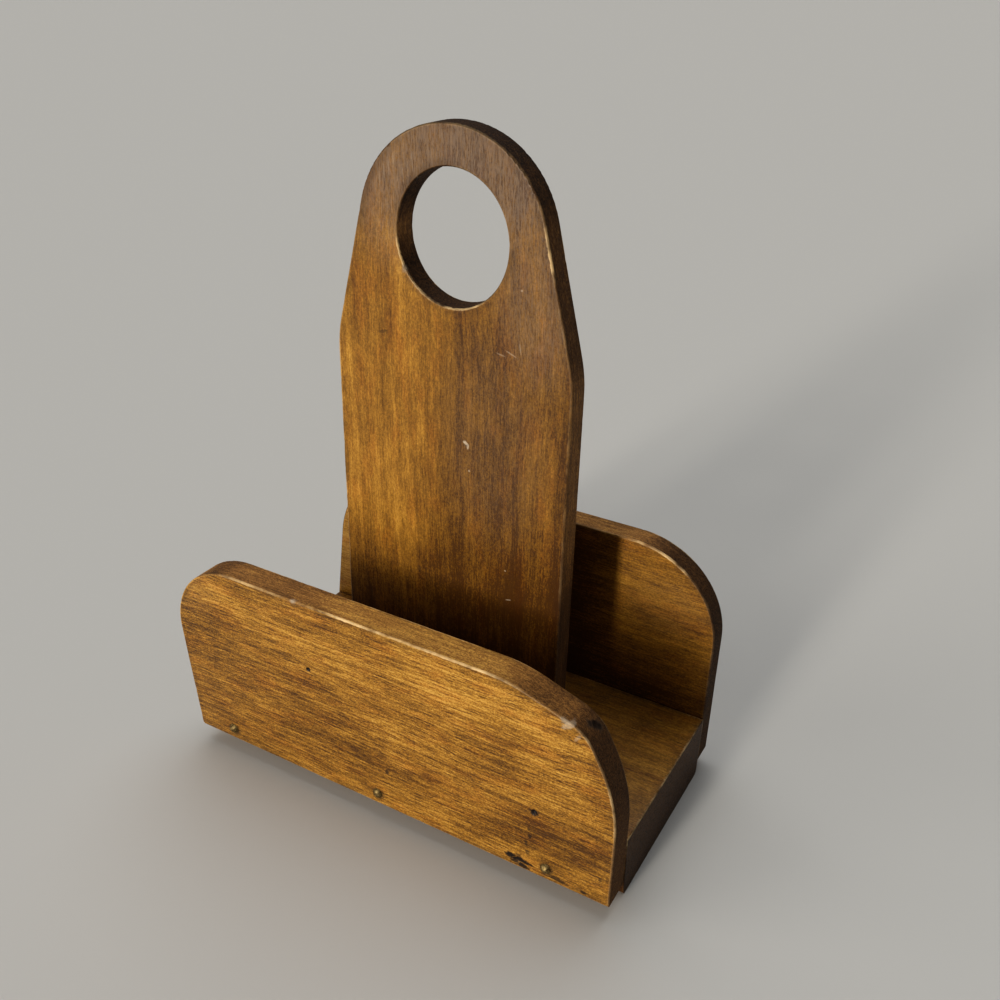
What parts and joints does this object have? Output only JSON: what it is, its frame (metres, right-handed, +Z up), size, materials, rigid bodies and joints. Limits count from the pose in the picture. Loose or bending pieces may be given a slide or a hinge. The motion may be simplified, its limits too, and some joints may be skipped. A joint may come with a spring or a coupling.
{
  "type": "napkin holder",
  "caption": "Wooden napkin holder: low rounded front and back panels nailed to a base board, with a tall handle board that has a finger hole and parts two napkin slots.",
  "frame": {"origin": "on the table, under the middle of the whole holder, nail heads and flared panel end included", "axes": "+Z up; +X along the panels, to the right for someone facing the lower front panel; -Y is the front"},
  "size_m": [0.1554, 0.0812, 0.2027],
  "materials": {
    "panel_wood": "satin varnish over golden-brown stain",
    "handle_wood": "satin varnish over red-brown stain",
    "base_wood": "satin varnish over brown stain, rougher saw-cut ends",
    "nail_brass": "dulled round head",
    "screw_steel": "dull zinc"
  },
  "bodies": {
    "root": {"base_board": "base_wood", "front_panel": "panel_wood", "back_panel": "panel_wood", "handle_board": "handle_wood", "front_nail_left": "nail_brass", "front_nail_middle": "nail_brass", "front_nail_right": "nail_brass", "back_nail_left": "nail_brass", "back_nail_middle": "nail_brass", "back_nail_right": "nail_brass", "handle_screw_left": "screw_steel", "handle_screw_right": "screw_steel"}
  },
  "joints": []
}
